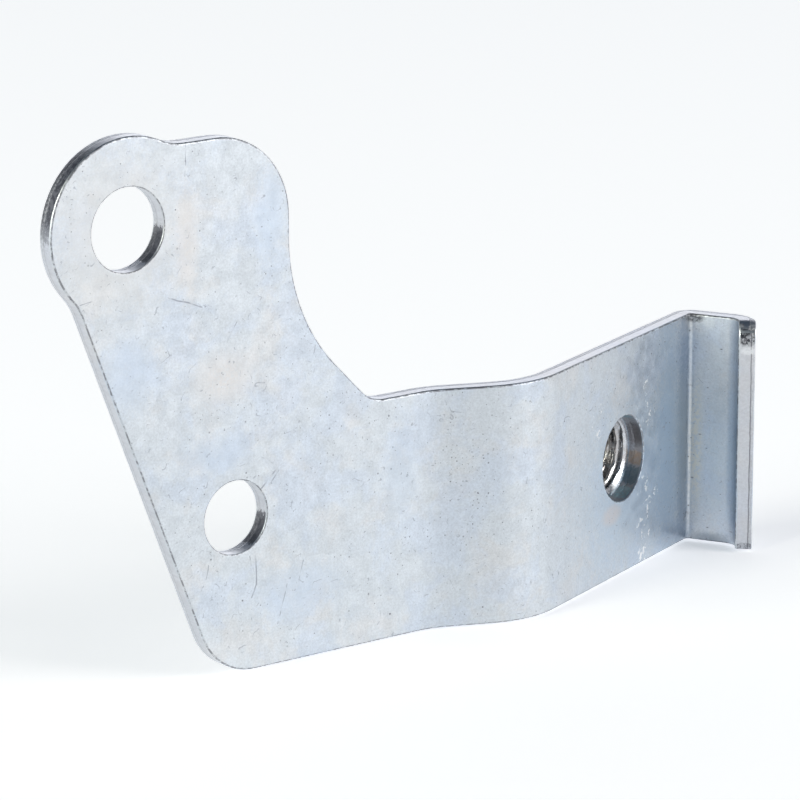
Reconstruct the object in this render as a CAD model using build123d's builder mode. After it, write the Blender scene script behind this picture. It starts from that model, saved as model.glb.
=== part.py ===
"""Stamped and folded sheet-metal bracket with a weld nut behind its arm.

The upper hole's centre, on the plate's back face, is the origin. +X runs along the
plate towards the arm, +Z runs up along the fold lines, and -Y is the plate's front.
"""
from build123d import *
import math
import os

# Sheet
sheet_thickness = 2.2
front_edge_round = 0.25
back_edge_break = 0.1

# Plate outline, seen from the front
upper_lobe_radius = 10.85
upper_lobe_offset = 0.25
shoulder_height = 9.15
shoulder_reach = 22.75
shoulder_radius = 10.4
valley_radius = 7.0
neck_radius = 6.3
left_edge_reach = 10.15
left_edge_angle = 21.4
heel_radius = 8.0
waist_radius = 23.4
shoulder_to_waist = 2.75
gusset_angle = 44.4
gusset_radius = 5.0

# Arm, a strip of constant width between its two long edges
arm_width = 30.1
arm_drop = 40.8

# Fold lines, measured along the front face from one sharp corner to the next. The
# first lies a fixed way past the gusset's foot.
gusset_to_fold = 8.95
step_length = 13.05
arm_length = 41.35
web_length = 6.7
lip_length = 2.5

# Folds: a positive angle turns the sheet away from the plate's front
step_fold_angle = -22.5
arm_fold_angle = 45.0
web_fold_angle = -84.0
lip_fold_angle = -70.0
wide_bend_radius = 10.3
web_bend_radius = 0.5
lip_bend_radius = 2.0
lip_top_corner_radius = 2.0
lip_bottom_corner_radius = 0.5

# Holes
upper_hole_diameter = 10.0
lower_hole_diameter = 9.0
lower_hole_x = 14.7
lower_hole_drop = 36.7
nut_hole_to_web = 17.9
punch_rollover = 0.15

# Weld nut
thread_diameter = 10.0
thread_pitch = 1.25
nut_hole_clearance = 0.5
nut_across_flats = 17.0
nut_height = 8.0
nut_face_diameter = 16.0
nut_chamfer_angle = 30.0
thread_mouth_diameter = 10.4
thread_mouth_angle = 120.0

# How closely two lengths agree when a face or a corner is looked up
match = 0.001

# The thread's core, five eighths of a sharp thread's depth in from each side, and
# the punched hole that lets the bolt through the sheet
thread_depth_share = 5 / 8
sharp_thread_depth = thread_pitch / 2 * math.tan(math.radians(60))
thread_core_diameter = thread_diameter - 2 * thread_depth_share * sharp_thread_depth
nut_hole_diameter = thread_diameter + 2 * nut_hole_clearance

# The nut's turned corners and the countersunk mouths of its thread
nut_corner_radius = nut_across_flats / 2 / math.cos(math.pi / 6)
nut_chamfer_width = nut_corner_radius - nut_face_diameter / 2
nut_chamfer_height = nut_chamfer_width * math.tan(math.radians(nut_chamfer_angle))
mouth_width = (thread_mouth_diameter - thread_core_diameter) / 2
mouth_depth = mouth_width / math.tan(math.radians(thread_mouth_angle / 2))

# The arm's long edges, and the left end of the strip that the blank is cut from
arm_top = arm_width / 2 - arm_drop
arm_bottom = -arm_width / 2 - arm_drop
blank_left = upper_lobe_offset - 2 * upper_lobe_radius

# The waist leaves the shoulder's straight side, turns through the gusset's angle and
# ends as the gusset's slant, which runs down to the arm's top edge
gusset_slope = math.tan(math.radians(gusset_angle))
waist_turn_length = waist_radius * math.tan(math.radians(gusset_angle / 2))
waist_corner_z = shoulder_height - shoulder_radius - shoulder_to_waist - waist_turn_length
gusset_reach = shoulder_reach + (waist_corner_z - arm_top) * gusset_slope
plate_length = gusset_reach + gusset_to_fold

# Fold corners in plan, along the front face, and the way each leg heads
headings = [0.0]
for fold in (step_fold_angle, arm_fold_angle, web_fold_angle, lip_fold_angle):
    headings.append(headings[-1] + fold)
fold_corners = [Vector(plate_length, -sheet_thickness, 0)]
for leg, heading in zip((step_length, arm_length, web_length, lip_length), headings[1:]):
    fold_corners.append(fold_corners[-1] + Vector(leg, 0, 0).rotate(Axis.Z, heading))

# A bend's front-face radius: the inside radius where the sheet folds forwards,
# and one sheet thickness more where it folds back
front_radii = [
    wide_bend_radius,
    wide_bend_radius + sheet_thickness,
    web_bend_radius,
    lip_bend_radius,
]

# The left edge runs up into the lobe, and ends inside it
left_slope = math.tan(math.radians(left_edge_angle))
neck_inside_z = -upper_lobe_radius / 2


def left_edge_x(z):
    """Where the slanting left edge is at height z."""
    return -left_edge_reach - left_slope * z


outline_corners = [
    (upper_lobe_offset, shoulder_height),
    (shoulder_reach, shoulder_height),
    (shoulder_reach, waist_corner_z),
    (gusset_reach, arm_top),
    (plate_length + step_length + arm_length + web_length, arm_top),
    (plate_length + step_length + arm_length + web_length, arm_bottom),
    (left_edge_x(arm_bottom), arm_bottom),
    (left_edge_x(neck_inside_z), neck_inside_z),
]
outline_radii = [0, shoulder_radius, waist_radius, gusset_radius, 0, 0, heel_radius, 0]

# The middle of the lip's sheared end
lip_end_point = fold_corners[-1] + Vector(0, sheet_thickness / 2, -arm_drop).rotate(Axis.Z, headings[-1])

# Planes of the plate's front face, and of the arm's front and back faces at the nut
plate_front = Plane.XZ.offset(sheet_thickness)
arm_direction = Vector(1, 0, 0).rotate(Axis.Z, headings[2])
arm_back_normal = Vector(0, 1, 0).rotate(Axis.Z, headings[2])
nut_hole_point = fold_corners[2] - arm_direction * nut_hole_to_web - Vector(0, 0, arm_drop)
arm_front = Plane(origin=nut_hole_point, x_dir=arm_direction, z_dir=-arm_back_normal)
arm_back = Plane(
    origin=nut_hole_point + arm_back_normal * sheet_thickness,
    x_dir=arm_direction,
    z_dir=arm_back_normal,
)
nut_axis = Axis(arm_back.origin, arm_back_normal)


def lobe_joints(outline):
    """The outline's corners on the upper lobe's circle, lowest first."""
    centre = Vector(upper_lobe_offset, 0, 0)
    joints = outline.vertices().filter_by(
        lambda corner: abs((Vector(corner) - centre).length - upper_lobe_radius) < match
    )
    return joints.sort_by(Axis.Y)


def in_plan(face):
    """A point in the middle of the face, seen from above."""
    middle = face.position_at(0.5, 0.5)
    return Vector(middle.X, middle.Y, 0)


def skin(sheet, depth):
    """The sheet's faces that lie this deep behind its front, bends included."""
    return sheet.faces().filter_by(
        lambda face: abs(front_path.distance_to(in_plan(face)) - depth) < match
    )


def outer_rim(faces):
    """The edges round a chain of faces, without the bend lines inside it."""
    edges = ShapeList(edge for face in faces for edge in face.outer_wire().edges())
    return edges.filter_by(lambda edge: sum(edge.is_same(other) for other in edges) == 1)


def hole_rims(faces):
    """The edges of the holes in a chain of faces."""
    return ShapeList(edge for face in faces for wire in face.inner_wires() for edge in wire.edges())


# The folded strip, cut to the blank's outline, punched, and its edges rounded
with BuildPart() as bracket_sheet:
    with BuildSketch(Plane.XY.offset(arm_bottom)):
        with BuildLine():
            front_path = FilletPolyline(
                Vector(blank_left, -sheet_thickness, 0), *fold_corners, radius=front_radii
            )
            offset(amount=sheet_thickness, side=Side.LEFT, closed=True)
        make_face()
    extrude(amount=upper_lobe_radius - arm_bottom)

    with BuildSketch(Plane.XZ) as blank_outline:
        with BuildLine():
            FilletPolyline(*outline_corners, radius=outline_radii, close=True)
        make_face()
        with Locations((upper_lobe_offset, 0)):
            Circle(upper_lobe_radius)
        fillet(lobe_joints(blank_outline)[0], neck_radius)
        fillet(lobe_joints(blank_outline)[-1], valley_radius)
    extrude(amount=plate_length + arm_length, both=True, mode=Mode.INTERSECT)

    for corner, radius in ((0, lip_bottom_corner_radius), (-1, lip_top_corner_radius)):
        lip_end = bracket_sheet.faces().sort_by_distance(lip_end_point)[0]
        fillet(lip_end.edges().sort_by(Axis.Z)[corner], radius)

    with BuildSketch(plate_front):
        Circle(upper_hole_diameter / 2)
        with Locations((lower_hole_x, -lower_hole_drop)):
            Circle(lower_hole_diameter / 2)
    extrude(amount=-sheet_thickness, mode=Mode.SUBTRACT)
    with BuildSketch(arm_front):
        Circle(nut_hole_diameter / 2)
    extrude(amount=-sheet_thickness, mode=Mode.SUBTRACT)

    fillet(outer_rim(skin(bracket_sheet, 0)), front_edge_round)
    fillet(hole_rims(skin(bracket_sheet, 0)), punch_rollover)
    chamfer(outer_rim(skin(bracket_sheet, sheet_thickness)), back_edge_break)

# The hexagon weld nut on the arm's back face, its corners turned off at the free end
with BuildPart() as weld_nut:
    with BuildSketch(arm_back):
        Circle(nut_corner_radius)
    extrude(amount=nut_height)
    chamfer(weld_nut.edges().sort_by(nut_axis)[-1], nut_chamfer_height, nut_chamfer_width)
    with BuildSketch(arm_back):
        RegularPolygon(nut_across_flats / 2, side_count=6, major_radius=False)
    extrude(amount=nut_height, mode=Mode.INTERSECT)
    with Locations(arm_back):
        Hole(thread_core_diameter / 2, depth=nut_height)
    mouths = weld_nut.edges().filter_by(GeomType.CIRCLE).group_by(Edge.length)[0]
    chamfer(mouths, mouth_depth, mouth_width)

os.makedirs("parts", exist_ok=True)
for name, piece in (("bracket_sheet", bracket_sheet), ("weld_nut", weld_nut)):
    piece.part.label = name
    export_step(piece.part, f"parts/{name}.step")
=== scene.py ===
import math

import bmesh
import bpy
from mathutils import Matrix, Vector


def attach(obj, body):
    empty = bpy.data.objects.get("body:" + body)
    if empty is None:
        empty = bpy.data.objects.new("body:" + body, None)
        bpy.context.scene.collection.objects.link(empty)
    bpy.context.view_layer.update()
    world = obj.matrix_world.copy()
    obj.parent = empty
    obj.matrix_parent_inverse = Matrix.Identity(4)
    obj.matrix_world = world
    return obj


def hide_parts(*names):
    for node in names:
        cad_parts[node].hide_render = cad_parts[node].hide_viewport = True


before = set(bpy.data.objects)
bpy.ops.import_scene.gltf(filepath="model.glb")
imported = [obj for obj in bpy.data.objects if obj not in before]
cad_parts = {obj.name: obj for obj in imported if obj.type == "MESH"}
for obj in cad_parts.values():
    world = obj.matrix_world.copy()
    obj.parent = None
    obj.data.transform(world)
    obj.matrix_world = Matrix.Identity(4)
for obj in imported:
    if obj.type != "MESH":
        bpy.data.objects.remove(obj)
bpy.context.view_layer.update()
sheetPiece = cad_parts["bracket_sheet"]


cameraSettings = {
    "position": (-0.30318, -0.45223, 0.12234),
    "tiltDown": 0.257,      # radians below the horizon
    "turnRight": 0.650,     # radians away from +Y
    "lens": 219.05,
    "sensor": 36.0,
    "clip": (0.01, 20.0),
}


def buildCamera(settings):
    cameraData = bpy.data.cameras.new("bracketCamera")
    cameraData.lens = settings["lens"]
    cameraData.sensor_width = settings["sensor"]
    cameraData.clip_start, cameraData.clip_end = settings["clip"]
    camera = bpy.data.objects.new("bracketCamera", cameraData)
    camera.location = settings["position"]
    camera.rotation_euler = (math.pi / 2 - settings["tiltDown"], 0, -settings["turnRight"])
    bpy.context.collection.objects.link(camera)
    bpy.context.scene.camera = camera


buildCamera(cameraSettings)
print("camera placed")


def addNode(tree, kind, inputs=None, **settings):
    # an input takes a link from another node's socket, or a plain value
    node = tree.nodes.new(kind)
    for name, value in settings.items():
        setattr(node, name, value)
    for key, value in (inputs or {}).items():
        if isinstance(value, bpy.types.NodeSocket):
            tree.links.new(value, node.inputs[key])
        else:
            node.inputs[key].default_value = value
    return node


def addMath(tree, operation, *values, clamp=False):
    node = addNode(
        tree, "ShaderNodeMath", dict(enumerate(values)), operation=operation, use_clamp=clamp
    )
    return node.outputs[0]


def addVector(tree, operation, *values):
    # a scale has a socket of its own, and lengths and products come out as a number
    inputs = dict(enumerate(values))
    if operation == "SCALE":
        inputs = {0: values[0], "Scale": values[1]}
    node = addNode(tree, "ShaderNodeVectorMath", inputs, operation=operation)
    return node.outputs["Value" if operation in ("DISTANCE", "DOT_PRODUCT", "LENGTH") else 0]


def addNoise(tree, place, scale, detail, roughness=0.5):
    inputs = {"Vector": place, "Scale": scale, "Detail": detail, "Roughness": roughness}
    return addNode(tree, "ShaderNodeTexNoise", inputs).outputs


def addStep(tree, value, low, high, toLow=0.0, toHigh=1.0):
    # runs smoothly from one number to the other between its two limits
    node = addNode(
        tree,
        "ShaderNodeMapRange",
        {"Value": value, "From Min": low, "From Max": high, "To Min": toLow, "To Max": toHigh},
        interpolation_type="SMOOTHSTEP",
    )
    return node.outputs["Result"]


def addFade(tree, value, reach, peak=1.0):
    # falls evenly from its peak to nothing at its reach
    inputs = {"Value": value, "From Min": 0.0, "From Max": reach, "To Min": peak, "To Max": 0.0}
    return addNode(tree, "ShaderNodeMapRange", inputs).outputs["Result"]


def mixColour(tree, factor, first, second):
    node = addNode(tree, "ShaderNodeMix", {0: factor, 6: first, 7: second}, data_type="RGBA")
    return node.outputs[2]


def mixNumber(tree, factor, first, second):
    node = addNode(tree, "ShaderNodeMix", {0: factor, 2: first, 3: second}, data_type="FLOAT")
    return node.outputs[0]


def newGroup(name, inputs, outputs):
    tree = bpy.data.node_groups.new(name, "ShaderNodeTree")
    kinds = {"number": "NodeSocketFloat", "vector": "NodeSocketVector", "colour": "NodeSocketColor"}
    for way, sockets in (("INPUT", inputs), ("OUTPUT", outputs)):
        for label, kind in sockets.items():
            tree.interface.new_socket(name=label, in_out=way, socket_type=kinds[kind])
    start = addNode(tree, "NodeGroupInput")
    end = addNode(tree, "NodeGroupOutput")
    return tree, start.outputs, end.inputs


def useGroup(tree, group, **values):
    return addNode(tree, "ShaderNodeGroup", values, node_tree=group).outputs


def fromMillimetres(place):
    return tuple(value / 1000 for value in place)


# every noise below is given as its scale, detail and roughness
toneSettings = {
    "warpNoise": (160.0, 3.0, 0.5),
    "warpReach": (0.006, 0.006, 0.006),
    "warmTexture": (6.0, 0.62),     # detail and roughness, at the patches' scale
    "warmEdge": (0.48, 0.66),
    "coolShift": (0.31, 0.17, 0.53),
    "coolTexture": (5.0, 0.6),
    "coolEdge": (0.46, 0.64),
    "grainNoise": (3600.0, 3.0, 0.7),
    "cloudNoise": (700.0, 4.0, 0.7),
    "cloudAmount": 0.7,
    "contrast": (0.3, 0.7),
}


def buildPlatingTone(settings):
    # beige and bluish patches of the passivate, and a fine grain, over the plating's own colour
    tree, given, end = newGroup(
        "platingTone",
        {
            "Position": "vector",
            "Plating": "colour",
            "Warm": "colour",
            "Cool": "colour",
            "PatchScale": "number",
            "WarmAmount": "number",
            "CoolAmount": "number",
            "GrainAmount": "number",
        },
        {"Color": "colour"},
    )
    warp = addNoise(tree, given["Position"], *settings["warpNoise"])["Color"]
    bent = addVector(tree, "MULTIPLY_ADD", warp, settings["warpReach"], given["Position"])
    warmNoise = addNoise(tree, bent, given["PatchScale"], *settings["warmTexture"])["Fac"]
    warmMask = addStep(tree, warmNoise, *settings["warmEdge"])
    coolPlace = addVector(tree, "ADD", bent, settings["coolShift"])
    coolNoise = addNoise(tree, coolPlace, given["PatchScale"], *settings["coolTexture"])["Fac"]
    coolMask = addStep(tree, coolNoise, *settings["coolEdge"])
    grainNoise = addNoise(tree, given["Position"], *settings["grainNoise"])["Fac"]
    cloudNoise = addNoise(tree, given["Position"], *settings["cloudNoise"])["Fac"]
    fine = addStep(tree, grainNoise, *settings["contrast"], -1.0, 1.0)
    cloudAmount = settings["cloudAmount"]
    broad = addStep(tree, cloudNoise, *settings["contrast"], -cloudAmount, cloudAmount)
    grain = addMath(tree, "ADD", fine, broad)
    warmed = addMath(tree, "MULTIPLY", warmMask, given["WarmAmount"])
    colour = mixColour(tree, warmed, given["Plating"], given["Warm"])
    cooled = addMath(tree, "MULTIPLY", coolMask, given["CoolAmount"])
    colour = mixColour(tree, cooled, colour, given["Cool"])
    gain = addMath(tree, "MULTIPLY_ADD", grain, given["GrainAmount"], 1.0)
    tree.links.new(addVector(tree, "SCALE", colour, gain), end["Color"])
    return tree


pitSettings = {
    "clusterNoise": (110.0, 2.0, 0.5),
    "clusterEdge": (0.40, 0.62),
    "clusterShare": (0.25, 2.0),    # times the given share, outside and inside a cluster
    "sizes": (0.9, 0.5),            # the spread and the smallest, times the given size
    "depths": (0.6, 0.4),           # the spread and the shallowest
    "softness": 1.25,
}


def buildPits(settings):
    # sparse small pits on a face laid out flat, some in clusters, each a soft dark dot
    tree, given, end = newGroup(
        "platingPits",
        {"Position": "vector", "Spacing": "number", "Size": "number", "Share": "number"},
        {"Mask": "number"},
    )
    frequency = addMath(tree, "DIVIDE", 1.0, given["Spacing"])
    cells = addNode(
        tree,
        "ShaderNodeTexVoronoi",
        {"Vector": given["Position"], "Scale": frequency, "Randomness": 1.0},
        voronoi_dimensions="2D",
    ).outputs
    reach = addMath(tree, "MULTIPLY", cells["Distance"], given["Spacing"])
    lot = addNode(tree, "ShaderNodeSeparateColor", {"Color": cells["Color"]}).outputs
    cluster = addNoise(tree, given["Position"], *settings["clusterNoise"])["Fac"]
    crowding = addStep(tree, cluster, *settings["clusterEdge"], *settings["clusterShare"])
    share = addMath(tree, "MULTIPLY", given["Share"], crowding)
    chosen = addMath(tree, "LESS_THAN", lot[0], share)
    size = addMath(tree, "MULTIPLY_ADD", lot[1], *settings["sizes"])
    radius = addMath(tree, "MULTIPLY", given["Size"], size)
    dot = addFade(tree, reach, radius, settings["softness"])
    depth = addMath(tree, "MULTIPLY_ADD", lot[2], *settings["depths"])
    mask = addMath(tree, "MULTIPLY", addMath(tree, "MINIMUM", dot, 1.0), depth)
    tree.links.new(addMath(tree, "MULTIPLY", mask, chosen, clamp=True), end["Mask"])
    return tree


hairlineSettings = {
    "fieldTexture": (2.5, 0.45),    # detail and roughness, at the lines' scale
    "middle": 0.5,
    "breakScale": 2.6,              # times the lines' scale
    "breakDetail": 3.0,
    "breakLimit": 0.76,
    "coverPull": 0.4,
    "breakEdge": 0.08,
}


def buildHairlines(settings):
    # fine curved hairlines, broken into short lengths
    tree, given, end = newGroup(
        "hairlines",
        {
            "Position": "vector",
            "Scale": "number",
            "Width": "number",
            "Offset": "number",
            "Cover": "number",
        },
        {"Mask": "number"},
    )
    moved = addVector(tree, "ADD", given["Position"], given["Offset"])
    field = addNoise(tree, moved, given["Scale"], *settings["fieldTexture"])["Fac"]
    off = addMath(tree, "ABSOLUTE", addMath(tree, "SUBTRACT", field, settings["middle"]))
    line = addFade(tree, off, given["Width"])
    breakScale = addMath(tree, "MULTIPLY", given["Scale"], settings["breakScale"])
    patches = addNoise(tree, moved, breakScale, settings["breakDetail"])["Fac"]
    pull = addMath(tree, "MULTIPLY", given["Cover"], settings["coverPull"])
    limit = addMath(tree, "SUBTRACT", settings["breakLimit"], pull)
    kept = addStep(tree, patches, limit, addMath(tree, "ADD", limit, settings["breakEdge"]))
    tree.links.new(addMath(tree, "MULTIPLY", line, kept, clamp=True), end["Mask"])
    return tree


scratchSettings = {
    "wanderNoise": (350.0, 2.0, 0.5),
    "wanderMiddle": (0.5, 0.5, 0.5),
    "breakNoise": (900.0, 2.0, 0.5),
    "breakEdge": (0.36, 0.58),
}


def buildScratch(settings):
    # one scratch between two points, with a little wander
    tree, given, end = newGroup(
        "singleScratch",
        {
            "Position": "vector",
            "Start": "vector",
            "End": "vector",
            "Width": "number",
            "Wander": "number",
        },
        {"Mask": "number"},
    )
    noise = addNoise(tree, given["Position"], *settings["wanderNoise"])["Color"]
    centred = addVector(tree, "SUBTRACT", noise, settings["wanderMiddle"])
    drift = addVector(tree, "SCALE", centred, given["Wander"])
    place = addVector(tree, "ADD", given["Position"], drift)
    run = addVector(tree, "SUBTRACT", given["End"], given["Start"])
    away = addVector(tree, "SUBTRACT", place, given["Start"])
    along = addVector(tree, "DOT_PRODUCT", away, run)
    whole = addVector(tree, "DOT_PRODUCT", run, run)
    share = addMath(tree, "DIVIDE", along, whole, clamp=True)
    nearest = addVector(tree, "SCALE", run, share)
    line = addFade(tree, addVector(tree, "DISTANCE", away, nearest), given["Width"])
    breakUp = addNoise(tree, given["Position"], *settings["breakNoise"])["Fac"]
    worn = addStep(tree, breakUp, *settings["breakEdge"])
    tree.links.new(addMath(tree, "MULTIPLY", line, worn, clamp=True), end["Mask"])
    return tree


foldSettings = {
    "thickness": 0.0022,
    "start": (0.0, -0.0022),
    # heading in degrees, length to the next corner, and how far the bend there rounds it
    "legs": (
        ("plate", 0.0, 0.043648, 0.00119),
        ("step", -22.5, 0.01305, 0.0057),
        ("arm", 22.5, 0.04135, 0.00077),
        ("web", -61.5, 0.0067, 0.00217),
        ("lip", -131.5, 0.0025, 0.0),
    ),
    # places along x: where the plate is still flat, in the step's middle, and past the arm
    "flatUntil": 0.041,
    "stepMiddle": 0.0495,
    "pastArm": 0.093,
    "lipLength": 0.0025,
    "lipEndDepth": 0.00012,
    "lipRimDepth": 0.0005,
    "nutHole": (0.0765274, 0.0038125, -0.0408),
    "nutHoleReach": 0.0062,
    # shares of the thickness between which a wall shows, and down to which a rim does
    "wallFront": (0.10, 0.14),
    "wallBack": (0.93, 0.965),
    "rimBack": (0.25, 0.35),
    # how much a point's normal agrees with the front's, at the rim's two sides
    "rimSteep": (0.42, 0.62),
    "rimFlat": (0.965, 0.995),
    "levelEnough": 0.5,
}


def buildSheetSection(settings):
    # how deep a point lies behind the sheet's front, and whether it is on a sheared wall,
    # on the rounded rim between the front and a wall, or on the lip's end
    tree, given, end = newGroup(
        "sheetSection",
        {"Position": "vector", "Normal": "vector"},
        {"Depth": "number", "Wall": "number", "Rim": "number", "LipEnd": "number"},
    )
    place = addNode(tree, "ShaderNodeSeparateXYZ", {0: given["Position"]}).outputs
    depths = {}
    corner = Vector(settings["start"])
    for name, heading, length, rounding in settings["legs"]:
        angle = math.radians(heading)
        fromCorner = addVector(tree, "SUBTRACT", given["Position"], (corner.x, corner.y, 0.0))
        backward = (-math.sin(angle), math.cos(angle), 0.0)
        forward = (math.cos(angle), math.sin(angle), 0.0)
        depths[name] = (addVector(tree, "DOT_PRODUCT", fromCorner, backward), rounding)
        if name == "arm":
            agreement = addVector(tree, "DOT_PRODUCT", given["Normal"], backward)
            armFacing = addMath(tree, "ABSOLUTE", agreement)
        if name == "lip":
            lipRun = addVector(tree, "DOT_PRODUCT", fromCorner, forward)
            agreement = addVector(tree, "DOT_PRODUCT", given["Normal"], backward)
            lipFacing = addMath(tree, "ABSOLUTE", agreement)
        corner = corner + length * Vector((math.cos(angle), math.sin(angle)))
    nearPlate = addMath(tree, "SMOOTH_MAX", depths["plate"][0], depths["step"][0], depths["plate"][1])
    nearArm = addMath(tree, "SMOOTH_MIN", depths["step"][0], depths["arm"][0], depths["step"][1])
    nearWeb = addMath(tree, "SMOOTH_MAX", nearArm, depths["web"][0], depths["arm"][1])
    nearLip = addMath(tree, "SMOOTH_MAX", nearWeb, depths["lip"][0], depths["web"][1])
    pastStep = addMath(tree, "GREATER_THAN", place["X"], settings["stepMiddle"])
    depth = mixNumber(tree, pastStep, nearPlate, nearLip)
    share = addMath(tree, "DIVIDE", depth, settings["thickness"])

    # the plate and the nut's hole tell a wall by its depth alone, the folds by its slope too
    fromNut = addVector(tree, "DISTANCE", given["Position"], settings["nutHole"])
    atNut = addMath(tree, "LESS_THAN", fromNut, settings["nutHoleReach"])
    onPlate = addMath(tree, "LESS_THAN", place["X"], settings["flatUntil"])
    normal = addNode(tree, "ShaderNodeSeparateXYZ", {0: given["Normal"]}).outputs
    level = addMath(tree, "ABSOLUTE", normal["Z"])
    lipLength = settings["lipLength"]
    lipEnd = addMath(tree, "GREATER_THAN", lipRun, lipLength - settings["lipEndDepth"])
    nearLipEnd = addMath(tree, "GREATER_THAN", lipRun, lipLength - settings["lipRimDepth"])
    pastArm = addMath(tree, "GREATER_THAN", place["X"], settings["pastArm"])
    lipEnd = addMath(tree, "MULTIPLY", lipEnd, pastArm)
    nearLipEnd = addMath(tree, "MULTIPLY", nearLipEnd, pastArm)
    free = addMath(tree, "MAXIMUM", onPlate, addMath(tree, "MAXIMUM", atNut, lipEnd))
    behindFront = addStep(tree, share, *settings["wallFront"])
    beforeBack = addStep(tree, share, *settings["wallBack"], 1.0, 0.0)
    inside = addMath(tree, "MULTIPLY", behindFront, beforeBack)
    isLevel = addMath(tree, "GREATER_THAN", level, settings["levelEnough"])
    wall = addMath(tree, "MULTIPLY", inside, addMath(tree, "MAXIMUM", free, isLevel))

    # the rim is where the edge's rounding turns about 10 to 60 degrees from the front
    plateFacing = addMath(tree, "ABSOLUTE", normal["Y"])
    squared = addMath(tree, "MULTIPLY", level, level)
    edgeFacing = addMath(tree, "SQRT", addMath(tree, "SUBTRACT", 1.0, squared, clamp=True))
    facing = mixNumber(tree, onPlate, edgeFacing, plateFacing)
    facing = mixNumber(tree, atNut, facing, armFacing)
    facing = mixNumber(tree, nearLipEnd, facing, lipFacing)
    notSteep = addStep(tree, facing, *settings["rimSteep"])
    notFlat = addStep(tree, facing, *settings["rimFlat"], 1.0, 0.0)
    turned = addMath(tree, "MULTIPLY", notSteep, notFlat)
    rim = addMath(tree, "MULTIPLY", turned, addStep(tree, share, *settings["rimBack"], 1.0, 0.0))
    tree.links.new(share, end["Depth"])
    tree.links.new(wall, end["Wall"])
    tree.links.new(rim, end["Rim"])
    tree.links.new(lipEnd, end["LipEnd"])
    return tree


shearSettings = {
    "wobbleNoise": (420.0, 4.0, 0.5),
    "wobble": (0.12, -0.06),
    "brokenEdge": (0.0, 0.04),
    "grooveFront": (-0.03, 0.02),
    "grooveBack": (0.03, 0.08),
    "streakStretch": (1.0, 0.12, 1.0),
    "streakNoise": (2600.0, 3.0, 0.65),
    "streakAmount": 0.5,
    "chipNoise": (3200.0, 5.0, 0.7),
    "contrast": (0.35, 0.65),
    "grooveDepth": 2.5,
}


def buildShearedEdge(settings):
    # a smooth land next to the front, a torn line, and a dull broken zone towards the back
    tree, given, end = newGroup(
        "shearedEdge",
        {"Position": "vector", "Depth": "number", "Land": "number"},
        {"Tone": "number", "Broken": "number", "Groove": "number", "Height": "number"},
    )
    wobbleNoise = addNoise(tree, given["Position"], *settings["wobbleNoise"])["Fac"]
    wobble = addMath(tree, "MULTIPLY_ADD", wobbleNoise, *settings["wobble"])
    edge = addMath(tree, "ADD", given["Land"], wobble)
    past = addMath(tree, "SUBTRACT", given["Depth"], edge)
    broken = addStep(tree, past, *settings["brokenEdge"])
    grooveFront = addStep(tree, past, *settings["grooveFront"])
    grooveBack = addStep(tree, past, *settings["grooveBack"], 1.0, 0.0)
    groove = addMath(tree, "MULTIPLY", grooveFront, grooveBack)
    stretched = addNode(
        tree, "ShaderNodeMapping", {"Vector": given["Position"], "Scale": settings["streakStretch"]}
    ).outputs[0]
    streakNoise = addNoise(tree, stretched, *settings["streakNoise"])["Fac"]
    streaks = addStep(tree, streakNoise, *settings["contrast"], -1.0, 1.0)
    chipNoise = addNoise(tree, given["Position"], *settings["chipNoise"])["Fac"]
    chips = addStep(tree, chipNoise, *settings["contrast"], -1.0, 1.0)
    faint = addMath(tree, "MULTIPLY", streaks, settings["streakAmount"])
    texture = mixNumber(tree, broken, faint, chips)
    tree.links.new(addMath(tree, "MULTIPLY_ADD", texture, 0.5, 0.5), end["Tone"])
    tree.links.new(broken, end["Broken"])
    tree.links.new(groove, end["Groove"])
    sunk = addMath(tree, "MULTIPLY", groove, settings["grooveDepth"])
    tree.links.new(addMath(tree, "SUBTRACT", texture, sunk), end["Height"])
    return tree


softPatchSettings = {
    "noise": (2200.0, 4.0, 0.7),
    "middle": 0.5,
    "raggedness": 1.2,
    "rim": 1.05,
    "mottleEdge": (0.44, 0.56),
}


def buildSoftPatch(settings):
    # one soft-edged patch, broken up by noise, round a given place; it serves stains and pit crowds,
    # and painted shade and light too
    tree, given, end = newGroup(
        "softPatch",
        {
            "Position": "vector",
            "Centre": "vector",
            "Reach": "vector",
            "Core": "number",
            "Mottle": "number",
        },
        {"Mask": "number"},
    )
    away = addVector(tree, "SUBTRACT", given["Position"], given["Centre"])
    distance = addVector(tree, "LENGTH", addVector(tree, "DIVIDE", away, given["Reach"]))
    noise = addNoise(tree, given["Position"], *settings["noise"])["Fac"]
    centred = addMath(tree, "SUBTRACT", noise, settings["middle"])
    ragged = addMath(tree, "MULTIPLY_ADD", centred, settings["raggedness"], distance)
    spot = addStep(tree, ragged, given["Core"], settings["rim"], 1.0, 0.0)
    broken = addStep(tree, noise, *settings["mottleEdge"])
    mask = mixNumber(tree, given["Mottle"], spot, addMath(tree, "MULTIPLY", spot, broken))
    tree.links.new(mask, end["Mask"])
    return tree


platingTone = buildPlatingTone(toneSettings)
platingPits = buildPits(pitSettings)
hairlines = buildHairlines(hairlineSettings)
singleScratch = buildScratch(scratchSettings)
sheetSection = buildSheetSection(foldSettings)
shearedEdge = buildShearedEdge(shearSettings)
softPatch = buildSoftPatch(softPatchSettings)
print("shared effects built")


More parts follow.
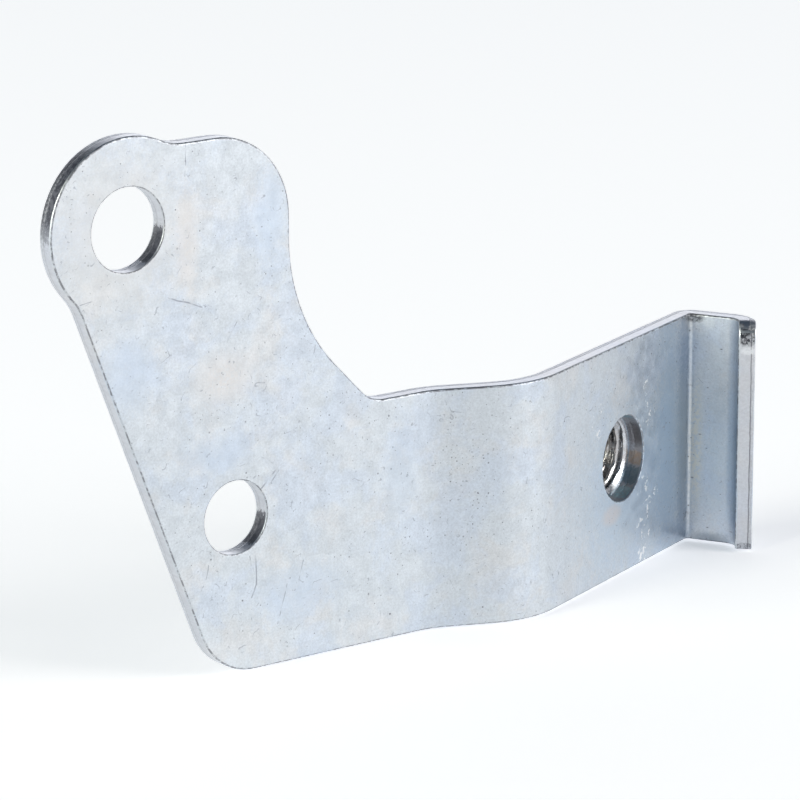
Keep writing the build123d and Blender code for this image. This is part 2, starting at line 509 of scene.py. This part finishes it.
sheetFinish = {
    "plating": (0.630, 0.672, 0.716, 1),
    "warm": (0.690, 0.674, 0.662, 1),
    "cool": (0.590, 0.655, 0.755, 1),
    "patchScale": 150.0,
    "warmAmount": 0.42,
    "coolAmount": 0.60,
    "grainAmount": 0.075,
    "roughness": 0.37,
    "roughnessSpread": 0.05,
    "roughnessNoise": (700.0, 3.0, 0.5),
    "roughnessContrast": (0.3, 0.7),
    "grainNoise": (2400.0, 4.0, 0.65),
    "grainHeight": 0.000006,
    # pits as spacing, size and share, and the closer ones that fill the clusters
    "pits": ((0.0031, 0.00013, 0.30), (0.0010, 0.00008, 0.20)),
    "clusterPits": (0.00062, 0.00010),
    "clusterShare": 0.35,
    "clusterCore": 0.2,
    "pitDepth": 0.000012,
    "pitColour": (0.10, 0.10, 0.12, 1),
    # hairlines as scale, width, offset and cover
    "hairlines": (
        (210.0, 0.0075, 0.0, 0.42),
        (340.0, 0.009, 1.7, 0.40),
        (620.0, 0.014, 3.1, 0.42),
    ),
    "lineAmount": 0.70,
    "scratchColour": (0.27, 0.29, 0.34, 1),
    "scratchWander": 0.4,       # in millimetres
    "speckNoise": (1700.0, 4.0, 0.65),
    "speckPull": 0.17,
    "speckEdge": (0.62, 0.68),
    "speckFade": (0.05, 0.3),
    "speckHeight": 0.000025,
    "speckColour": (0.95, 0.96, 0.97, 1),
    # the sheared walls: the land is a share of the thickness, longer on the lip's end
    "land": 0.62,
    "lipLand": 0.74,
    "wallColour": (0.655, 0.660, 0.705, 1),
    "wallShare": 0.55,
    "wallTone": (0.16, 0.92),       # the spread and the least of the wall's brightness
    "wallRoughness": 0.38,
    "brokenRoughness": 0.42,
    "wallHeight": 0.000012,
    "grooveColour": (0.16, 0.16, 0.19, 1),
    "grooveAmount": 0.25,
    "lipGrooveAmount": 0.85,
    # the thin dark line along the rounded rim, broken up along its length
    "rimColour": (0.16, 0.16, 0.18, 1),
    "rimRoughness": 0.55,
    "rimNoise": (1500.0, 5.0, 0.7),
    "rimEdge": (0.43, 0.56),
    "rimAmount": (0.10, 0.74),
    # from here on in millimetres: scratches as start and end, x and z on the plate's front
    # face, with the width
    "frontFace": -2.2,
    "scratches": (
        ((4.4, -7.9), (5.5, -8.8), 0.13),
        ((5.5, -8.8), (6.7, -9.3), 0.13),
        ((6.7, -9.3), (8.4, -9.8), 0.13),
        ((8.4, -9.8), (10.1, -10.5), 0.12),
        ((20.4, -31.8), (18.4, -33.7), 0.15),
        ((20.9, -31.9), (19.5, -33.4), 0.12),
        ((17.4, -41.9), (17.6, -43.9), 0.15),
        ((17.6, -43.9), (17.6, -45.4), 0.14),
        ((17.6, -45.4), (16.9, -46.8), 0.13),
        ((16.6, -41.8), (16.8, -43.0), 0.10),
        ((22.1, -46.2), (20.6, -50.9), 0.08),
        ((10.7, -41.9), (10.3, -43.5), 0.09),
        ((8.1, 9.4), (7.9, 5.3), 0.09),
        ((24.4, -43.6), (23.8, -46.0), 0.08),
        ((-6.8, -7.9), (-4.7, -7.5), 0.08),
        ((15.1, -13.0), (13.6, -15.2), 0.08),
        ((26.4, -17.5), (25.8, -20.0), 0.10),
        ((21.2, -13.2), (21.9, -13.0), 0.10),
    ),
    # stains and painted shade and light as place, reach along x, y and z, the share of the reach that
    # is fully covered, colour, strength and how broken up they are
    "skinStainsAndPaintedShade": {
        "lobeWarm": ((-2.0, -2.2, 0.0), (14.0, 10.0, 14.0), 0.1, (0.665, 0.668, 0.668), 0.7, 0.1),
        "bandBeige": ((8.2, -2.2, -2.9), (2.2, 6.0, 9.0), 0.2, (0.705, 0.672, 0.65), 0.6, 0.35),
        "cloudBeige": ((13.1, -2.2, -19.5), (6.5, 6.0, 4.6), 0.2, (0.705, 0.672, 0.65), 0.7, 0.4),
        "rightBlue": ((19.9, -2.2, -1.0), (3.4, 6.0, 8.6), 0.2, (0.56, 0.65, 0.78), 0.62, 0.2),
        "leftBlue": ((-0.3, -2.2, -17.0), (5.5, 6.0, 6.5), 0.2, (0.56, 0.65, 0.78), 0.55, 0.2),
        "middleBlue": ((11.7, -2.2, -28.6), (7.5, 6.0, 3.6), 0.2, (0.56, 0.65, 0.78), 0.5, 0.2),
        "footBlue": ((23.9, -2.2, -47.3), (9.0, 6.0, 4.4), 0.2, (0.56, 0.65, 0.78), 0.5, 0.2),
        "stepBlue": ((38.9, -2.2, -35.0), (4.0, 6.0, 8.0), 0.2, (0.56, 0.65, 0.78), 0.4, 0.2),
        # painted shade along the fold between the arm and the web, darkest at the crease
        "foldPaintedShade": ((88.8, 6.5, -41.0), (6.2, 4.4, 30.0), 0.0, (0.37, 0.49, 0.63), 0.68, 0.0),
        "creasePaintedShade": ((92.5, 8.0, -41.5), (2.4, 2.4, 26.0), 0.1, (0.26, 0.35, 0.47), 0.75, 0.1),
        "webCool": ((96.0, 4.8, -44.0), (1.6, 3.6, 18.0), 0.2, (0.50, 0.62, 0.69), 0.22, 0.1),
        # painted dark reflection at the foot of the web
        "webFootPaintedReflection": ((95.3, 6.0, -55.6), (2.6, 5.0, 1.4), 0.2, (0.24, 0.28, 0.33), 0.7, 0.2),
        "webBeige": ((94.4, 7.6, -43.0), (0.9, 2.0, 14.0), 0.2, (0.72, 0.69, 0.60), 0.9, 0.6),
        "webTopCorner": ((94.5, 8.5, -26.2), (1.4, 2.0, 0.8), 0.6, (0.05, 0.05, 0.06), 0.85, 0.6),
        # a bluer tint over the arm that is also painted shade, darkest round the arm's middle
        "armBlueTintAndPaintedShade": ((79.0, 2.5, -45.0), (23.0, 12.0, 17.0), 0.0, (0.47, 0.60, 0.73), 0.6, 0.0),
        "armBeige": ((74.6, 0.6, -47.5), (3.0, 3.0, 1.6), 0.5, (0.70, 0.64, 0.62), 0.6, 0.2),
    },
    "wallStainsAndPaintedLight": {
        # painted dark reflection on the rounded top corner of the lip's end, over the real one
        "lipTopPaintedDarkReflection": ((96.2, 0.2, -27.6), (1.8, 1.8, 1.2), 0.8, (0.02, 0.021, 0.03), 0.92, 0.7),
        # painted glint on the lip's end, below its top corner
        "lipTopPaintedGlint": ((96.4, 0.0, -29.4), (1.2, 1.2, 0.6), 0.6, (0.90, 0.92, 0.95), 0.7, 0.5),
        # painted dark reflection at the foot of the lip's end
        "lipFootPaintedReflection": ((96.4, 0.0, -55.4), (1.8, 1.8, 0.6), 0.7, (0.10, 0.11, 0.13), 0.8, 0.7),
        # painted dark reflections on the walls of the lobe's edge and of the two plate holes
        "lobePaintedDarkReflection": ((-8.6, -1.1, 5.8), (6.0, 3.0, 7.2), 0.7, (0.055, 0.055, 0.075), 0.82, 0.35),
        "upperHolePaintedDarkReflection": ((4.3, -1.1, -2.9), (2.0, 3.4, 2.7), 0.95, (0.055, 0.055, 0.07), 0.82, 0.15),
        "lowerHolePaintedDarkReflection": ((18.7, -1.1, -39.3), (1.8, 3.4, 2.4), 0.95, (0.055, 0.055, 0.07), 0.82, 0.15),
        "nutHoleDark": ((81.6, 4.7, -38.6), (1.4, 2.0, 2.1), 0.7, (0.34, 0.32, 0.34), 0.8, 0.2),
        "nutHoleBrown": ((81.9, 4.8, -42.1), (1.2, 2.0, 1.0), 0.7, (0.62, 0.50, 0.40), 0.9, 0.3),
        "nutHoleTeal": ((80.9, 4.4, -44.2), (1.6, 2.0, 1.4), 0.7, (0.20, 0.31, 0.39), 0.85, 0.2),
        # light teal, painted light where the nut hole's wall lies in shade
        "nutHoleTealLowPaintedLight": ((78.8, 3.6, -46.0), (1.6, 2.0, 1.1), 0.7, (0.62, 0.90, 0.98), 0.85, 0.4),
        "nutHoleTealTop": ((78.8, 3.6, -35.8), (1.6, 2.0, 1.2), 0.7, (0.36, 0.60, 0.70), 0.85, 0.3),
    },
    # places where small pits crowd together, each with its reach
    "pitClusters": (
        ((40.3, -2.2, -43.5), (1.2, 1.2, 2.8)),
        ((57.8, -6.3, -42.7), (1.0, 1.0, 1.8)),
        ((51.6, -5.5, -27.2), (3.0, 1.6, 1.5)),
        ((47.6, -3.8, -38.5), (6.0, 3.0, 10.0)),
    ),
    # the runs of bright specks where the arm was pressed: start, end, width and wander
    "speckRuns": (
        ((82.55, 3.9, -32.0), (83.1, 4.2, -55.6), 1.9, 11.0),
        ((70.4, -1.1, -33.0), (71.1, -0.8, -35.0), 1.6, 6.0),
    ),
}


def newMetal(name):
    material = bpy.data.materials.new(name)
    material.use_nodes = True
    tree = material.node_tree
    tree.nodes.clear()
    output = addNode(tree, "ShaderNodeOutputMaterial")
    shader = addNode(tree, "ShaderNodeBsdfPrincipled", {"Metallic": 1.0})
    tree.links.new(shader.outputs[0], output.inputs["Surface"])
    position = addNode(tree, "ShaderNodeTexCoord").outputs["Object"]
    return material, tree, shader.inputs, position


def addTone(tree, position, finish):
    return useGroup(
        tree,
        platingTone,
        Position=position,
        Plating=finish["plating"],
        Warm=finish["warm"],
        Cool=finish["cool"],
        PatchScale=finish["patchScale"],
        WarmAmount=finish["warmAmount"],
        CoolAmount=finish["coolAmount"],
        GrainAmount=finish["grainAmount"],
    )["Color"]


def addRoughness(tree, position, finish):
    noise = addNoise(tree, position, *finish["roughnessNoise"])["Fac"]
    middle, spread = finish["roughness"], finish["roughnessSpread"]
    return addStep(tree, noise, *finish["roughnessContrast"], middle - spread, middle + spread)


def addGrain(tree, position, finish):
    grain = addNoise(tree, position, *finish["grainNoise"])["Fac"]
    return addMath(tree, "MULTIPLY", grain, finish["grainHeight"])


def addBump(tree, height):
    inputs = {"Strength": 1.0, "Distance": 1.0, "Height": height}
    return addNode(tree, "ShaderNodeBump", inputs).outputs["Normal"]


def pitMask(tree, place, spacing, size, share):
    pits = useGroup(tree, platingPits, Position=place, Spacing=spacing, Size=size, Share=share)
    return pits["Mask"]


def lineMask(tree, place, scale, width, offset, cover):
    lines = useGroup(
        tree, hairlines, Position=place, Scale=scale, Width=width, Offset=offset, Cover=cover
    )
    return lines["Mask"]


def scratchMask(tree, position, start, stop, width, wander):
    return useGroup(
        tree,
        singleScratch,
        Position=position,
        Start=fromMillimetres(start),
        End=fromMillimetres(stop),
        Width=width / 1000,
        Wander=wander / 1000,
    )["Mask"]


def softPatchMask(tree, position, centre, reach, core, mottle):
    return useGroup(
        tree,
        softPatch,
        Position=position,
        Centre=fromMillimetres(centre),
        Reach=fromMillimetres(reach),
        Core=core,
        Mottle=mottle,
    )["Mask"]


# each mask joins the sum as soon as it is made, since Cycles holds only so many values at once
def sumMasks(tree, masks):
    total = None
    for mask in masks:
        total = mask if total is None else addMath(tree, "MAXIMUM", total, mask)
    return total


def addStainsAndPaintedLight(tree, position, colour, patchTable):
    for centre, reach, core, patchColour, strength, mottle in patchTable.values():
        mask = softPatchMask(tree, position, centre, reach, core, mottle)
        amount = addMath(tree, "MULTIPLY", mask, strength)
        colour = mixColour(tree, amount, colour, (*patchColour, 1))
    return colour


def addSkinMarks(tree, position, flatPlace, finish):
    # the pits, the hairlines and scratches, and the bright specks where the arm was pressed
    crowds = (
        softPatchMask(tree, position, centre, reach, finish["clusterCore"], 0.0)
        for centre, reach in finish["pitClusters"]
    )
    crowded = addMath(tree, "MULTIPLY", sumMasks(tree, crowds), finish["clusterShare"])
    pitRows = (*finish["pits"], (*finish["clusterPits"], crowded))
    pitted = sumMasks(tree, (pitMask(tree, flatPlace, *row) for row in pitRows))
    lines = (lineMask(tree, flatPlace, *row) for row in finish["hairlines"])
    fineLines = addMath(tree, "MULTIPLY", sumMasks(tree, lines), finish["lineAmount"])
    scratches = (
        scratchMask(
            tree,
            position,
            (start[0], finish["frontFace"], start[1]),
            (stop[0], finish["frontFace"], stop[1]),
            width,
            finish["scratchWander"],
        )
        for start, stop, width in finish["scratches"]
    )
    scratched = addMath(tree, "MAXIMUM", fineLines, sumMasks(tree, scratches))
    runs = (scratchMask(tree, position, *run) for run in finish["speckRuns"])
    pressed = sumMasks(tree, runs)
    noise = addNoise(tree, position, *finish["speckNoise"])["Fac"]
    crowding = addMath(tree, "MULTIPLY_ADD", pressed, finish["speckPull"], noise)
    sharp = addStep(tree, crowding, *finish["speckEdge"])
    specks = addMath(tree, "MULTIPLY", sharp, addStep(tree, pressed, *finish["speckFade"]))
    return pitted, scratched, specks


def paintWalls(tree, position, tone, sheared, lipEnd, finish):
    colour = mixColour(tree, finish["wallShare"], tone, finish["wallColour"])
    gain = addMath(tree, "MULTIPLY_ADD", sheared["Tone"], *finish["wallTone"])
    colour = addVector(tree, "SCALE", colour, gain)
    grooveAmount = mixNumber(tree, lipEnd, finish["grooveAmount"], finish["lipGrooveAmount"])
    groove = addMath(tree, "MULTIPLY", sheared["Groove"], grooveAmount)
    colour = mixColour(tree, groove, colour, finish["grooveColour"])
    return addStainsAndPaintedLight(tree, position, colour, finish["wallStainsAndPaintedLight"])


def zincSheetMaterial(finish):
    material, tree, surface, position = newMetal("zincPlatedSheet")
    normal = addNode(tree, "ShaderNodeNewGeometry").outputs["Normal"]
    place = addNode(tree, "ShaderNodeSeparateXYZ", {0: position}).outputs
    swapped = {0: place["X"], 1: place["Z"], 2: place["Y"]}
    flatPlace = addNode(tree, "ShaderNodeCombineXYZ", swapped).outputs[0]
    section = useGroup(tree, sheetSection, Position=position, Normal=normal)
    tone = addTone(tree, position, finish)
    pitted, scratched, specks = addSkinMarks(tree, position, flatPlace, finish)
    skinColour = addStainsAndPaintedLight(tree, position, tone, finish["skinStainsAndPaintedShade"])
    skinColour = mixColour(tree, scratched, skinColour, finish["scratchColour"])
    skinColour = mixColour(tree, specks, skinColour, finish["speckColour"])
    skinColour = mixColour(tree, pitted, skinColour, finish["pitColour"])

    land = mixNumber(tree, section["LipEnd"], finish["land"], finish["lipLand"])
    sheared = useGroup(tree, shearedEdge, Position=position, Depth=section["Depth"], Land=land)
    wallColour = paintWalls(tree, position, tone, sheared, section["LipEnd"], finish)
    colour = mixColour(tree, section["Wall"], skinColour, wallColour)
    rimNoise = addNoise(tree, position, *finish["rimNoise"])["Fac"]
    rimBreakup = addStep(tree, rimNoise, *finish["rimEdge"], *finish["rimAmount"])
    rimAmount = addMath(tree, "MULTIPLY", section["Rim"], rimBreakup)
    tree.links.new(mixColour(tree, rimAmount, colour, finish["rimColour"]), surface["Base Color"])

    skinRough = addRoughness(tree, position, finish)
    wallRough = mixNumber(
        tree, sheared["Broken"], finish["wallRoughness"], finish["brokenRoughness"]
    )
    faceRough = mixNumber(tree, section["Wall"], skinRough, wallRough)
    rough = mixNumber(tree, section["Rim"], faceRough, finish["rimRoughness"])
    tree.links.new(rough, surface["Roughness"])

    skinHeight = addGrain(tree, position, finish)
    dents = addMath(tree, "MULTIPLY", pitted, -finish["pitDepth"])
    bumps = addMath(tree, "MULTIPLY", specks, finish["speckHeight"])
    wallHeight = addMath(tree, "MULTIPLY", sheared["Height"], finish["wallHeight"])
    skinHeight = addMath(tree, "ADD", skinHeight, addMath(tree, "ADD", dents, bumps))
    height = mixNumber(tree, section["Wall"], skinHeight, wallHeight)
    tree.links.new(addBump(tree, height), surface["Normal"])
    return material


sheetPiece.material_slots[0].material = zincSheetMaterial(sheetFinish)
print("sheet finished")


nutShape = {
    "centre": (0.0765274, 0.0038125, -0.0408),   # on the arm's back face
    "heading": 22.5,
    "acrossFlats": 0.017,
    "height": 0.008,
    "faceDiameter": 0.016,
    "chamferAngle": 30.0,
    "threadDiameter": 0.010,
    "pitch": 0.00125,
    "threadAngle": 60.0,
    "threadDepthShare": 5 / 8,
    "rootClearance": 0.00004,
    # where a tooth's flank starts past the root, and how wide it is, as shares of half a pitch
    "flankStart": 0.14,
    "flankWidth": 0.62,
    "mouthDiameter": 0.0104,
    "mouthAngle": 120.0,
    "around": 96,
    "perPitch": 12,
    "mergeReach": 1e-7,
    "sharpAngle": 35.0,
}


def buildNut(shape):
    radius, height, pitch = shape["threadDiameter"] / 2, shape["height"], shape["pitch"]
    threadSlope = math.tan(math.radians(shape["threadAngle"]))
    coreRadius = radius - shape["threadDepthShare"] * pitch / 2 * threadSlope
    rootRadius = radius + shape["rootClearance"]
    mouthRadius = shape["mouthDiameter"] / 2
    mouthSlope = math.tan(math.radians(shape["mouthAngle"] / 2))
    flat = shape["acrossFlats"] / 2
    faceRadius = shape["faceDiameter"] / 2
    chamferSlope = math.tan(math.radians(shape["chamferAngle"]))
    rows = int(height / pitch * shape["perPitch"])

    def insideRadius(turn, rise):
        phase = (rise / pitch - turn) % 1.0
        crest = abs(phase - 0.5) * 2                     # 1 at a crest, 0 at a root
        tooth = min(max((crest - shape["flankStart"]) / shape["flankWidth"], 0.0), 1.0)
        mouth = mouthRadius - min(rise, height - rise) * mouthSlope
        return max(rootRadius + (coreRadius - rootRadius) * tooth, mouth)

    mesh = bpy.data.meshes.new("weldNutThreaded")
    shaper = bmesh.new()
    columns = []
    for step in range(shape["around"]):
        turn = step / shape["around"]
        angle = turn * 2 * math.pi
        fromFlat = angle % (math.pi / 3) - math.pi / 6
        hexRadius = flat / math.cos(fromFlat)
        shoulder = height - max(hexRadius - faceRadius, 0.0) * chamferSlope
        rises = [height * row / rows for row in range(rows + 1)]
        outline = [(insideRadius(turn, rise), rise) for rise in rises]
        outline += [(min(hexRadius, faceRadius), height), (hexRadius, shoulder)]
        outline += [(hexRadius, height / 2), (hexRadius, 0.0)]
        columns.append(
            [
                shaper.verts.new((reach * math.cos(angle), reach * math.sin(angle), rise))
                for reach, rise in outline
            ]
        )
    count = len(columns[0])
    for step in range(shape["around"]):
        here, after = columns[step], columns[(step + 1) % shape["around"]]
        for row in range(count):
            nextRow = (row + 1) % count
            shaper.faces.new([here[row], here[nextRow], after[nextRow], after[row]])
    bmesh.ops.remove_doubles(shaper, verts=shaper.verts, dist=shape["mergeReach"])
    bmesh.ops.recalc_face_normals(shaper, faces=shaper.faces)
    shaper.to_mesh(mesh)
    shaper.free()
    return mesh


nutFinish = {
    "plating": (0.63, 0.655, 0.69, 1),
    "warm": (0.44, 0.385, 0.34, 1),
    "cool": (0.40, 0.56, 0.64, 1),
    "patchScale": 260.0,
    "warmAmount": 0.25,
    "coolAmount": 0.35,
    "grainAmount": 0.04,
    "roughness": 0.27,
    "roughnessSpread": 0.06,
    "roughnessNoise": (900.0, 3.0, 0.5),
    "roughnessContrast": (0.3, 0.7),
    "grainNoise": (2600.0, 4.0, 0.6),
    "grainHeight": 0.000006,
    "hairlines": (420.0, 0.012, 0.9, 0.5),
    "lineAmount": 0.25,
    "pits": (0.0023, 0.00015, 0.3),
    "scratchColour": (0.40, 0.42, 0.46, 1),
    # the bore's darker, browner plating: place and reach in millimetres, core and mottle
    "bore": ((75.0, 7.5, -40.8), (6.2, 6.2, 6.2), 0.8, 0.5),
    "boreColour": (0.43, 0.37, 0.32, 1),
    "boreAmount": 0.75,
}


def zincNutMaterial(finish):
    material, tree, surface, position = newMetal("zincPlatedNut")
    tone = addTone(tree, position, finish)
    bore = softPatchMask(tree, position, *finish["bore"])
    browned = addMath(tree, "MULTIPLY", bore, finish["boreAmount"])
    tone = mixColour(tree, browned, tone, finish["boreColour"])
    lines = lineMask(tree, position, *finish["hairlines"])
    pits = pitMask(tree, position, *finish["pits"])
    fineLines = addMath(tree, "MULTIPLY", lines, finish["lineAmount"])
    marked = addMath(tree, "MAXIMUM", fineLines, pits)
    colour = mixColour(tree, marked, tone, finish["scratchColour"])
    tree.links.new(colour, surface["Base Color"])
    tree.links.new(addRoughness(tree, position, finish), surface["Roughness"])
    height = addGrain(tree, position, finish)
    tree.links.new(addBump(tree, height), surface["Normal"])
    return material


def placeNut(shape, finish):
    mesh = buildNut(shape)
    heading = math.radians(shape["heading"])
    along = Vector((math.cos(heading), math.sin(heading), 0))
    outward = Vector((-math.sin(heading), math.cos(heading), 0))
    across = outward.cross(along)
    turn = Matrix((along, across, outward)).transposed().to_4x4()
    mesh.transform(Matrix.Translation(shape["centre"]) @ turn)
    mesh.materials.append(zincNutMaterial(finish))
    mesh.shade_smooth()
    mesh.set_sharp_from_angle(angle=math.radians(shape["sharpAngle"]))
    nut = bpy.data.objects.new("weldNutThreaded", mesh)
    bpy.context.collection.objects.link(nut)
    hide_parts("weld_nut")
    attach(nut, "root")


placeNut(nutShape, nutFinish)
print("nut built")


studioSettings = {
    "floorHeight": -0.0562,
    "floorSize": 8.0,
    "floorColour": (0.91, 0.89, 0.88, 1),
    "floorLift": (0.46, 0.48, 0.50, 1),
    "studioColour": (0.03, 0.05, 0.08, 1),
    "backdropColour": (0.90, 0.92, 0.95, 1),
    "backdropSide": (0.605, 0.796, 0.0),
    "backdropTop": (0.28, 0.55),
    "backdropEdge": (0.15, 0.60),
    "lamps": (
        # name, place, aim, width, height, watts, colour
        ("frontRight", (1.46, -1.88, 0.83), (0.05, 0.0, 0.0), 1.3, 1.3, 38.5, (1.0, 0.97, 0.94)),
        ("left", (-2.30, 0.0, 0.83), (0.05, 0.0, 0.0), 1.3, 1.3, 50.0, (1.0, 1.0, 0.88)),
        ("back", (1.50, 1.93, 0.62), (0.05, 0.0, -0.03), 2.6, 1.0, 8.0, (0.98, 0.97, 1.0)),
    ),
}


def buildFloor(settings):
    half, height = settings["floorSize"] / 2, settings["floorHeight"]
    corners = [(x * half, y * half, height) for x, y in ((-1, -1), (1, -1), (1, 1), (-1, 1))]
    mesh = bpy.data.meshes.new("studioFloor")
    mesh.from_pydata(corners, [], [(0, 1, 2, 3)])
    material = bpy.data.materials.new("paleFloor")
    material.use_nodes = True
    tree = material.node_tree
    tree.nodes.clear()
    output = addNode(tree, "ShaderNodeOutputMaterial")
    paint = addNode(tree, "ShaderNodeBsdfDiffuse", {"Color": settings["floorColour"]})
    path = addNode(tree, "ShaderNodeLightPath").outputs
    inMetal = addMath(tree, "MAXIMUM", path["Is Glossy Ray"], path["Is Transmission Ray"])
    seen = addMath(tree, "MAXIMUM", path["Is Camera Ray"], inMetal)
    inputs = {"Color": settings["floorLift"], "Strength": seen}
    lift = addNode(tree, "ShaderNodeEmission", inputs)
    both = addNode(tree, "ShaderNodeAddShader", {0: paint.outputs[0], 1: lift.outputs[0]})
    tree.links.new(both.outputs[0], output.inputs["Surface"])
    mesh.materials.append(material)
    floor = bpy.data.objects.new("studioFloor", mesh)
    bpy.context.collection.objects.link(floor)


def buildWorld(settings):
    # a pale backdrop low behind the part, and a darker studio all round
    world = bpy.data.worlds.new("studioWorld")
    bpy.context.scene.world = world
    world.use_nodes = True
    tree = world.node_tree
    tree.nodes.clear()
    output = addNode(tree, "ShaderNodeOutputWorld")
    direction = addNode(tree, "ShaderNodeTexCoord").outputs["Generated"]
    height = addNode(tree, "ShaderNodeSeparateXYZ", {0: direction}).outputs["Z"]
    ahead = addVector(tree, "DOT_PRODUCT", direction, settings["backdropSide"])
    low = addStep(tree, height, *settings["backdropTop"], 1.0, 0.0)
    behind = addStep(tree, ahead, *settings["backdropEdge"])
    backdrop = addMath(tree, "MULTIPLY", low, behind)
    colour = mixColour(tree, backdrop, settings["studioColour"], settings["backdropColour"])
    background = addNode(tree, "ShaderNodeBackground", {"Color": colour, "Strength": 1.0})
    tree.links.new(background.outputs[0], output.inputs["Surface"])


def buildLamps(settings):
    for name, place, aim, width, height, watts, colour in settings["lamps"]:
        lampData = bpy.data.lights.new(name, "AREA")
        lampData.shape = "RECTANGLE"
        lampData.size = width
        lampData.size_y = height
        lampData.energy = watts
        lampData.color = colour
        lamp = bpy.data.objects.new(name, lampData)
        lamp.location = place
        lamp.rotation_euler = (Vector(aim) - Vector(place)).to_track_quat("-Z", "Y").to_euler()
        bpy.context.collection.objects.link(lamp)


buildFloor(studioSettings)
buildWorld(studioSettings)
buildLamps(studioSettings)
bpy.context.scene.view_settings.view_transform = "Standard"
print("studio lit")
